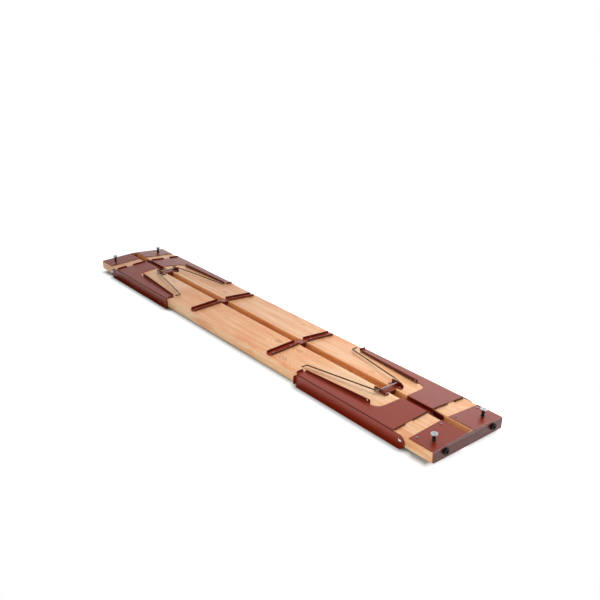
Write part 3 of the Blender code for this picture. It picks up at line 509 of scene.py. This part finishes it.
def turned(profile, turns=48, dent=None, dent_from=0):
    """Surface of revolution: rows of (radius, height) carried round the Z axis.

    From the row dent_from on, dent(radius, angle) is added to the height. A row of radius 0 is one point.
    """
    profile = np.array(profile, float)
    angle = np.linspace(0.0, 2 * math.pi, turns, endpoint=False)
    radius = profile[:, :1] * np.ones_like(angle)
    height = profile[:, 1:] * np.ones_like(angle)
    if dent is not None:
        height[dent_from:] += dent(radius[dent_from:], angle)
    grid = np.stack([radius * np.cos(angle), radius * np.sin(angle), height], axis=-1)
    is_ring = profile[:, 0] > 0.0
    counts = np.where(is_ring, turns, 1)
    starts = np.cumsum(counts) - counts
    points = np.concatenate([ring[:count] for ring, count in zip(grid, counts)])
    around = np.arange(turns)
    after = (around + 1) % turns
    faces = []
    for row in range(len(profile) - 1):
        low, low_after = (starts[row] + corner * is_ring[row] for corner in (around, after))
        high, high_after = (starts[row + 1] + corner * is_ring[row + 1] for corner in (around, after))
        quads = np.stack([low, low_after, high_after, high], axis=1).tolist()
        faces.extend(list(dict.fromkeys(quad)) for quad in quads)
    return points, faces


def joined(parts):
    """Several (points, faces) as one."""
    points, faces, start = [], [], 0
    for part_points, part_faces in parts:
        points.append(part_points)
        faces.extend([[corner + start for corner in face] for face in part_faces])
        start += len(part_points)
    return np.concatenate(points), faces


def quarter(centre, radius, start, stop, steps):
    """Points of an arc in the (radius, height) plane, angles in degrees."""
    angle = np.radians(np.linspace(start, stop, steps + 1))
    return [(centre[0] + radius * c, centre[1] + radius * s) for c, s in zip(np.cos(angle), np.sin(angle))]


def rounded_route(corners, radii, steps=8):
    """Polyline through corners with each inner corner replaced by an arc of its radius."""
    corners = [np.array(corner, float) for corner in corners]
    route = [corners[0]]
    for before, corner, after, radius in zip(corners, corners[1:], corners[2:], radii):
        to_before = (before - corner) / np.linalg.norm(before - corner)
        to_after = (after - corner) / np.linalg.norm(after - corner)
        half = math.acos(float(np.clip(to_before @ to_after, -1, 1))) / 2
        middle = to_before + to_after
        centre = corner + middle / np.linalg.norm(middle) * (radius / math.sin(half))
        first = corner + to_before * (radius / math.tan(half)) - centre
        last = corner + to_after * (radius / math.tan(half)) - centre
        sweep = math.pi - 2 * half
        share = np.linspace(0.0, 1.0, steps + 1)[:, None]
        arc = (first * np.sin((1 - share) * sweep) + last * np.sin(share * sweep)) / math.sin(sweep)
        route.extend(centre + arc)
    route.append(corners[-1])
    return np.array(route)


def tube(route, radius, turns=20):
    """Round bar along a route: a circle square to the route at each point, shrinking to rounded ends.

    An end is rounded as a quarter of an ellipse, a little over half a radius long, and stops with the route.
    """
    ends = []
    for point, inner in ((route[0], route[1]), (route[-1], route[-2])):
        outward = (point - inner) / np.linalg.norm(point - inner) * radius * 0.55
        ends.append([(point - outward * (1 - math.sin(angle)), math.cos(angle))
                     for angle in np.radians([0.0, 25.0, 50.0, 72.0, 90.0])])
    rings = [*reversed(ends[0]), *((point, 1.0) for point in route[1:-1]), *ends[1]]
    centres = np.array([centre for centre, _ in rings])
    sizes = np.array([size for _, size in rings])[:, None, None] * radius
    tangent = np.gradient(centres, axis=0)
    tangent /= np.linalg.norm(tangent, axis=1, keepdims=True)
    side = np.cross(np.array([0.0, 0.0, 1.0]), tangent)
    side /= np.linalg.norm(side, axis=1, keepdims=True)
    top = np.cross(tangent, side)
    angle = np.linspace(0.0, 2 * math.pi, turns, endpoint=False)[None, :, None]
    grid = centres[:, None, :] + (side[:, None, :] * np.cos(angle) + top[:, None, :] * np.sin(angle)) * sizes
    starts = np.arange(len(rings) - 1)[:, None] * turns
    around = np.arange(turns)[None, :]
    low = (starts + around).ravel()
    after = (starts + (around + 1) % turns).ravel()
    faces = np.stack([low, after, after + turns, low + turns], axis=1).tolist()
    faces.append(list(range(turns))[::-1])
    faces.append(list(range((len(rings) - 1) * turns, len(rings) * turns)))
    return grid.reshape(-1, 3), faces


# ---------------------------------------------------------------- screws
HEAD_RADIUS = 0.0036
HEAD_HEIGHT = 0.0022
HEAD_RIM = 0.0007
SHANK_RADIUS = 0.0018
SHANK = 0.014
SHANK_POINT = 0.003
RECESS_DEPTH = 0.0010
RECESS_HALF_WIDTH = 0.00042
RECESS_REACH = 0.00185
RECESS_SOFT = 0.00006
RECESS_FADE = 0.00010
FLAP_SCREW_X = HALF_LENGTH - 0.079
FLAP_SCREW_Y = (0.034, 0.137)
BOW_SCREW_OFF_X = 0.018
BOW_SCREW_Y = 0.0315
CROSS_SCREW_X = 0.2444
CROSS_SCREW_Y = (0.047, 0.126)


def soft_side(value, limit, softness):
    """1 well under the limit, 0 well over it, with a logistic step between them."""
    return 1 / (1 + np.exp((value - limit) / softness))


def cross_recess(radius, angle):
    """Depth of a cross recess: deep within a narrow band along either axis, fading out towards the rim."""
    band = np.minimum(np.abs(radius * np.cos(angle)), np.abs(radius * np.sin(angle)))
    inside = soft_side(band, RECESS_HALF_WIDTH, RECESS_SOFT)
    return -RECESS_DEPTH * inside * soft_side(radius, RECESS_REACH, RECESS_FADE)


def screw_mesh():
    """Pan-head wood screw: a shank, a rounded rim, a shallow dome and a cross recess in the middle."""
    soft = 0.0002
    profile = [(0.0, -SHANK), (SHANK_RADIUS * 0.5, -SHANK), (SHANK_RADIUS, SHANK_POINT - SHANK),
               (SHANK_RADIUS, PLATE_FACE), (HEAD_RADIUS - soft, PLATE_FACE),
               (HEAD_RADIUS, PLATE_FACE + soft), (HEAD_RADIUS, PLATE_FACE + HEAD_RIM)]
    rise = HEAD_HEIGHT - HEAD_RIM
    dome = [(HEAD_RADIUS * share, PLATE_FACE + HEAD_RIM + rise * math.sqrt(1 - share * share))
            for share in np.linspace(0.97, 0.0, 16)]
    return turned(profile + dome, 40, cross_recess, len(profile))


def screws():
    """Wood screws, as one piece for each plate or bracket; no two on it are turned alike."""
    bow_x = abs(JOINTS["bow_hinge_right"]["pos_m"][0])
    bow_spots = (bow_x - BOW_SCREW_OFF_X, bow_x + BOW_SCREW_OFF_X)
    groups = {"end_plate": [(FLAP_SCREW_X, side * y) for side in (-1, 1) for y in FLAP_SCREW_Y],
              "bow_bracket": [(x, side * BOW_SCREW_Y) for side in (-1, 1) for x in bow_spots],
              "cross_bracket": [(CROSS_SCREW_X, side * y) for side in (-1, 1) for y in CROSS_SCREW_Y]}
    points, faces = screw_mesh()
    for label, sign in ENDS:
        for group, spots in groups.items():
            parts = []
            for number, (x, y) in enumerate(spots):
                spin = Matrix.Rotation(0.7 * number + 0.3, 4, "Z")
                parts.append((placed(points, on_board(sign * x, sign * y) @ spin), faces))
            made = piece(f"{group}_screws_{label}", *joined(parts), "zinc", "bench", HEAD_EDGE)
            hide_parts(*[f"{group}_screw_{label}_{number}" for number in range(1, 5)])


# ---------------------------------------------------------------- stacking studs
STUD_X = 0.960
STUD_Y = 0.111
STUD_FLARE = PLATE_FACE + 0.010
STUD_TOP = STUD_FLARE + 0.009
STUD_BORE = 0.0022
STUD_WAIST = 0.0047
STUD_TOP_RADIUS = 0.0090
CAP_LOW = STUD_TOP + CLEARANCE
CAP_TOP = CAP_LOW + 0.0026
CAP_RADIUS = 0.01075
SOCKET_DEPTH = 0.0011
SOCKET_HALF_WIDTH = 0.0017
BUTTON_SOFT = 0.0004


def stud_stem():
    """Black stem: a collar, a waist, then a flare whose radius grows with the square of the height."""
    profile = [(STUD_BORE, PLATE_FACE), (0.0056, PLATE_FACE), (0.0060, PLATE_FACE + 0.0004),
               (0.0060, PLATE_FACE + 0.0016), (0.0055, PLATE_FACE + 0.0023),
               (0.00475, PLATE_FACE + 0.0032), (0.00465, STUD_FLARE - 0.002)]
    growth = STUD_TOP_RADIUS - STUD_WAIST
    profile += [(STUD_WAIST + growth * share * share, STUD_FLARE + 0.0082 * share)
                for share in np.linspace(0.0, 1.0, 14)]
    profile += [(STUD_TOP_RADIUS, STUD_TOP), (STUD_BORE, STUD_TOP), (STUD_BORE, PLATE_FACE)]
    return turned(profile)


def hexagon_socket(radius, angle):
    """Depth inside a small hexagon, by the distance to the nearest flat, measured square to it."""
    nearest = (angle + math.pi / 6) % (math.pi / 3) - math.pi / 6
    return -SOCKET_DEPTH * soft_side(radius * np.cos(nearest), SOCKET_HALF_WIDTH, RECESS_SOFT)


def stud_cap():
    """Steel cap on its bolt: a flat disc with a rounded rim, a ring groove, a low head with its socket."""
    rim = 0.0006
    profile = [(0.0, -SHANK), (SHANK_RADIUS, -SHANK), (SHANK_RADIUS, CAP_LOW),
               (CAP_RADIUS - BUTTON_SOFT, CAP_LOW), (CAP_RADIUS, CAP_LOW + BUTTON_SOFT)]
    profile += quarter((CAP_RADIUS - rim, CAP_TOP - rim), rim, 10, 90, 4)
    profile += [(0.0078, CAP_TOP), (0.0071, CAP_TOP - 0.0007), (0.0048, CAP_TOP - 0.0009),
                (0.0045, CAP_TOP - 0.0004)]
    head = [(radius, CAP_TOP - 0.0003) for radius in np.linspace(0.0042, 0.0, 22)]
    return turned(profile + head, 48, hexagon_socket, len(profile))


def studs():
    """A stem and a cap on each end of each board."""
    shapes = (("stud_stem", stud_stem(), "nylon"), ("stud_cap", stud_cap(), "zinc"))
    for label, sign in ENDS:
        for board, side in BOARDS:
            place = on_board(sign * STUD_X, side * STUD_Y)
            tail = f"_{label}_{board}"
            for kind, (points, faces), slot in shapes:
                made = piece(kind + "_turned" + tail, placed(points, place), faces, slot, "bench",
                             BUTTON_EDGE)
                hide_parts(kind + tail)


# ---------------------------------------------------------------- bumpers
BUMPER_Y = 0.108
BUMPER_Z = SEAT_Z + 0.0235
BUMPER_BORE = 0.0021
BUMPER_RADIUS = 0.01075
BUMPER_DEEP = 0.008
BUMPER_ROUND = 0.0024
WELL_RADIUS = 0.005
WELL_FLOOR = 0.0035
WELL_LIP = 0.0006


def bumper():
    """Rubber bumper: a round button whose edge is a wide quarter round, with a well down to its screw."""
    profile = [(BUMPER_BORE, CLEARANCE), (BUMPER_RADIUS - BUTTON_SOFT, CLEARANCE),
               (BUMPER_RADIUS, CLEARANCE + BUTTON_SOFT)]
    profile += quarter((BUMPER_RADIUS - BUMPER_ROUND, BUMPER_DEEP - BUMPER_ROUND), BUMPER_ROUND, 0, 90, 8)
    profile += quarter((WELL_RADIUS + WELL_LIP, BUMPER_DEEP - WELL_LIP), WELL_LIP, 90, 180, 3)
    profile += [(WELL_RADIUS - 0.0002, WELL_FLOOR + 0.0002), (WELL_RADIUS - 0.0005, WELL_FLOOR),
                (BUMPER_BORE, WELL_FLOOR), (BUMPER_BORE, CLEARANCE)]
    return turned(profile)


def bumpers():
    """A bumper and its screw on each end of each board; the screw's head rests on the well's floor."""
    button_points, button_faces = bumper()
    screw_points, screw_faces = screw_mesh()
    sunk = Matrix.Translation((0.0, 0.0, WELL_FLOOR + 0.0001 - PLATE_FACE)) @ Matrix.Rotation(0.5, 4, "Z")
    for label, sign in ENDS:
        for board, side in BOARDS:
            place = along_x(sign, sign * HALF_LENGTH, side * BUMPER_Y, BUMPER_Z)
            tail = f"_{label}_{board}"
            made = piece("bumper_turned" + tail, placed(button_points, place), button_faces, "rubber",
                         "bench", BUTTON_EDGE)
            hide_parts("bumper" + tail)
            piece("bumper_screw" + tail, placed(screw_points, place @ sunk), screw_faces, "nylon",
                  "bench", HEAD_EDGE)


# ---------------------------------------------------------------- hinge rods and their nuts
WASHER = 0.001
FLANGE_FACE = HALF_SPAN + 2 * CLEARANCE + WASHER + SHEET
ROD_RADIUS = 0.004
ROD_HEAD_RADIUS = 0.0065
ROD_HEAD_HEIGHT = 0.0035
NUT_BORE = 0.0043
NUT_STRETCH = 1.5


def domed(inner, face, stretch):
    """Turned shape: the rows inside it, a soft corner at its face, a short rim, then an ellipse to its top."""
    rim, soft = 0.0009, 0.0003
    dome = [(ROD_HEAD_RADIUS * math.cos(angle), rim + (ROD_HEAD_HEIGHT - rim) * math.sin(angle))
            for angle in np.radians(np.linspace(8, 90, 12))]
    dome[-1] = (0.0, ROD_HEAD_HEIGHT)
    corner = [(ROD_HEAD_RADIUS - soft, face), (ROD_HEAD_RADIUS, face + soft)]
    return turned(inner + corner + [(radius, face + height * stretch) for radius, height in dome])


def hinge_rods():
    """Each leg's rod through both boards, with a mushroom head on one end and a domed nut on the other."""
    face = FLANGE_FACE + CLEARANCE
    rod_end = face + ROD_HEAD_HEIGHT * 0.7
    nut_floor = rod_end + CLEARANCE
    rod = domed([(0.0, -rod_end), (ROD_RADIUS, -rod_end), (ROD_RADIUS, face)], face, 1.0)
    nut = domed([(0.0, nut_floor), (NUT_BORE, nut_floor), (NUT_BORE, face)], face, NUT_STRETCH)
    for label, sign in ENDS:
        x, _, z = JOINTS["leg_hinge_" + label]["pos_m"]
        for kind, (points, faces), way in (("hinge_rod", rod, -sign), ("hinge_nut", nut, sign)):
            place = along_y(way, x, 0.0, z)
            made = piece(f"{kind}_turned_{label}", placed(points, place), faces, "zinc", "bench", HEAD_EDGE)
            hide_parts(f"{kind}_{label}")


# ---------------------------------------------------------------- lock bows
WIRE_RADIUS = 0.0025
ARM_END_Y = 0.1042
CROSS_ROD_Y = 0.0515
BOW_BENDS = (0.006, 0.005, 0.005, 0.006)


def bows():
    """Lock bows: round wire along a tip, an arm, the cross rod in its bracket, an arm and a tip."""
    for label, sign in ENDS:
        low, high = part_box("lock_bow_" + label)
        joint_x, _, joint_z = JOINTS["bow_hinge_" + label]["pos_m"]
        tip_x = low.x + WIRE_RADIUS if sign > 0 else high.x - WIRE_RADIUS
        tip_z = low.z + WIRE_RADIUS
        corners = [(tip_x, -high.y, tip_z), (tip_x, -ARM_END_Y, tip_z), (joint_x, -CROSS_ROD_Y, joint_z),
                   (joint_x, CROSS_ROD_Y, joint_z), (tip_x, ARM_END_Y, tip_z), (tip_x, high.y, tip_z)]
        points, faces = tube(rounded_route(corners, BOW_BENDS), WIRE_RADIUS)
        made = piece("lock_bow_wire_" + label, points, faces, "wire", "bow_" + label, WIRE_EDGE)
        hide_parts("lock_bow_" + label)


# ---------------------------------------------------------------- everything on the solids
def dress_solids():
    """Smooth copies of the boards and the sheet pieces, and a finish on every solid."""
    for board, _ in BOARDS:
        smooth_copy("seat_board_" + board, "pine", "bench")
    for label, _ in ENDS:
        smooth_copy("end_plate_" + label, "coat", "bench")
        smooth_copy("cross_bracket_" + label, "coat", "bench")
        smooth_copy("bow_bracket_" + label, "coat", "bench")
        smooth_copy("leg_frame_" + label, "coat", "leg_" + label)
    for entry in frame["record"]["subparts"]:
        NODES[entry["node"]].data.materials[0] = FINISHES[entry["material_slot"]]


# ---------------------------------------------------------------- floor, light and camera
FLOOR_REACH = 30.0
FLOOR_TONE = 0.88
SIDE_LIFT = 0.82
END_LIFT = 0.85
GLOSS_LIFT = 0.58
# The camera's degrees round from the front, up from the floor and about its own axis, then its metres back,
# across and up from a point over the bench's middle, and its lens in millimetres.
CAMERA_TURN = 49.3405
CAMERA_RISE = 21.6580
CAMERA_ROLL = 1.8709
CAMERA_BACK = 2.8444
CAMERA_ACROSS = 0.1512
CAMERA_UP = 0.1188
CAMERA_BASE_Z = 0.016
CAMERA_LENS = 44.4731
# Each lamp: its name, its place, the point it is turned to, its width, its height and its watts.
LAMPS = (
    ("key", (0.55, 0.62, 1.12), (0.50, 0.0, 0.0), 0.8, 1.0, 12.2),
    ("far_fill", (-0.80, 0.30, 1.50), (-0.60, 0.0, 0.0), 1.0, 1.0, 3.4),
    ("front", (0.30, -1.80, 0.35), (0.30, 0.0, 0.05), 1.2, 0.5, 5.9),
    ("corner", (0.85, -1.05, 0.28), (0.95, -0.16, 0.03), 0.3, 0.3, 2.2))


def eased(value, most):
    """From 0 to most while the value goes from 0 to 1: quick at first, then levelling off."""
    share = value.clamp()
    return share * (2.0 - share) * most


def pale_floor():
    """Pale floor that keeps the bench's soft shadow and goes over to white further out.

    The eye sees it lifted towards white from about the bench's edge outwards, and gloss finds it so past the
    ends and from a little further out beside the bench. Light that bounces finds it dark beside the legs and
    past the ends, so that the low faces there stay deep. From below it is clear.
    """
    made = Finish("pale_floor", (0.9, 0.9, 0.9))
    camera_ray, glossy, clear = made.rays()
    x, y, _ = made.parts(made.place())
    along = abs(x)
    past_end = along - HALF_LENGTH
    past_side = abs(y) - HALF_SPAN
    by_leg = along.step(0.38, 0.42) * along.step(0.92, 0.88)
    open_floor = 1.0 - by_leg * past_side.step(-0.010, 0.0) * past_side.step(0.070, 0.030)
    bounced = (FLOOR_TONE - past_end.step(0.0, 0.10) * 0.70) * open_floor
    tone = camera_ray * FLOOR_TONE + (1.0 - camera_ray) * bounced
    made.finish(base_color=made.point(tone * 0.90, tone * 0.98, tone), roughness=0.9, specular_ior_level=0.1)

    by_end_plate = along.step(0.90, 0.93)
    side_lift = eased((past_side + 0.016 - by_leg * 0.019 - by_end_plate * 0.014) * 20.0, SIDE_LIFT)
    end_lift = eased((past_end + 0.026) * 28.0, END_LIFT)
    mirrored = past_side.step(0.03, 0.07).math("MAXIMUM", past_end.step(-0.01, 0.01) * 0.91)
    lift = camera_ray * side_lift.math("MAXIMUM", end_lift) + glossy * mirrored * GLOSS_LIFT
    glow = made.node("ShaderNodeEmission", {}, {"Color": made.point(lift, lift, lift), "Strength": 1.0})
    lifted = made.node("ShaderNodeAddShader", {}, [Value(made, made.shader.outputs[0]), glow])

    white = made.node("ShaderNodeEmission", {}, {"Color": (1.0, 1.0, 1.0, 1.0), "Strength": 1.0})
    away = distance(x * 0.75, y * 1.3)
    seen = (camera_ray + glossy + clear).clamp()
    above = made.node("ShaderNodeMixShader", {}, [away.step(0.70, 1.20) * seen, lifted, white])
    below = made.node("ShaderNodeNewGeometry", {}, (), "Backfacing")
    both = made.node("ShaderNodeMixShader", {}, [below, above, made.node("ShaderNodeBsdfTransparent")])
    made.feed(made.tree.nodes["Material Output"].inputs["Surface"], both)
    return made.owner


def floor():
    """Wide square that the bench lies on."""
    mesh = bpy.data.meshes.new("floor")
    corners = [(FLOOR_REACH * x, FLOOR_REACH * y, 0.0) for x, y in ((-1, -1), (1, -1), (1, 1), (-1, 1))]
    mesh.from_pydata(corners, [], [(0, 1, 2, 3)])
    mesh.materials.append(pale_floor())
    made = bpy.data.objects.new("floor", mesh)
    bpy.context.scene.collection.objects.link(made)


def sky():
    """Even white surroundings for the eye.

    Gloss finds them brightest low behind the bench's left half, and weak overhead and in front. Their light
    is even, but for being stronger from the left than from the right.
    """
    world = bpy.data.worlds.new("studio")
    bpy.context.scene.world = world
    made = Recipe(world)
    camera_ray, glossy, clear = made.rays()
    x, y, _ = made.parts(made.node("ShaderNodeTexCoord", {}, (), "Generated"))
    behind = x * -0.5 + y * 0.866
    beam = ((behind - 0.757) * 3.6 + 0.64).math("MINIMUM", 1.30)
    mirrored = beam.math("MAXIMUM", behind.step(0.0, 0.50, 0.08, 0.50))
    seen = (camera_ray + clear).clamp()
    level = seen + glossy * mirrored + (1.0 - (seen + glossy).clamp()) * (0.40 - x * 0.20)
    made.feed(made.tree.nodes["Background"].inputs["Color"], made.point(level, level, level))


def softbox(name, place, target, width, height, power):
    """Soft oblong lamp turned to its target, which gloss doesn't show."""
    light = bpy.data.lights.new(name, "AREA")
    light.shape = "RECTANGLE"
    light.size = width
    light.size_y = height
    light.energy = power
    made = bpy.data.objects.new(name, light)
    bpy.context.scene.collection.objects.link(made)
    made.location = place
    made.rotation_euler = (Vector(target) - Vector(place)).to_track_quat("-Z", "Y").to_euler()
    made.visible_glossy = False


def camera():
    """Seen from the front right, about 22 degrees above the floor, turned 2 degrees about its own axis."""
    turn, rise, roll = (math.radians(angle) for angle in (CAMERA_TURN, CAMERA_RISE, CAMERA_ROLL))
    back = Vector((math.sin(turn) * math.cos(rise), -math.cos(turn) * math.cos(rise), math.sin(rise)))
    right = Vector((math.cos(turn), math.sin(turn), 0.0))
    up = back.cross(right)
    across = right * math.cos(roll) + up * math.sin(roll)
    upward = up * math.cos(roll) - right * math.sin(roll)
    lens = bpy.data.cameras.new("camera")
    lens.lens = CAMERA_LENS
    lens.sensor_width = 36.0
    lens.clip_start = 0.05
    made = bpy.data.objects.new("camera", lens)
    bpy.context.scene.collection.objects.link(made)
    made.matrix_world = Matrix((across, upward, back)).transposed().to_4x4()
    made.location = (back * CAMERA_BACK + right * CAMERA_ACROSS + up * CAMERA_UP
                     + Vector((0.0, 0.0, CAMERA_BASE_Z)))
    bpy.context.scene.camera = made


dress_solids()
screws()
studs()
bumpers()
hinge_rods()
bows()
floor()
sky()
for lamp in LAMPS:
    softbox(*lamp)
camera()
bpy.context.scene.view_settings.view_transform = "Standard"
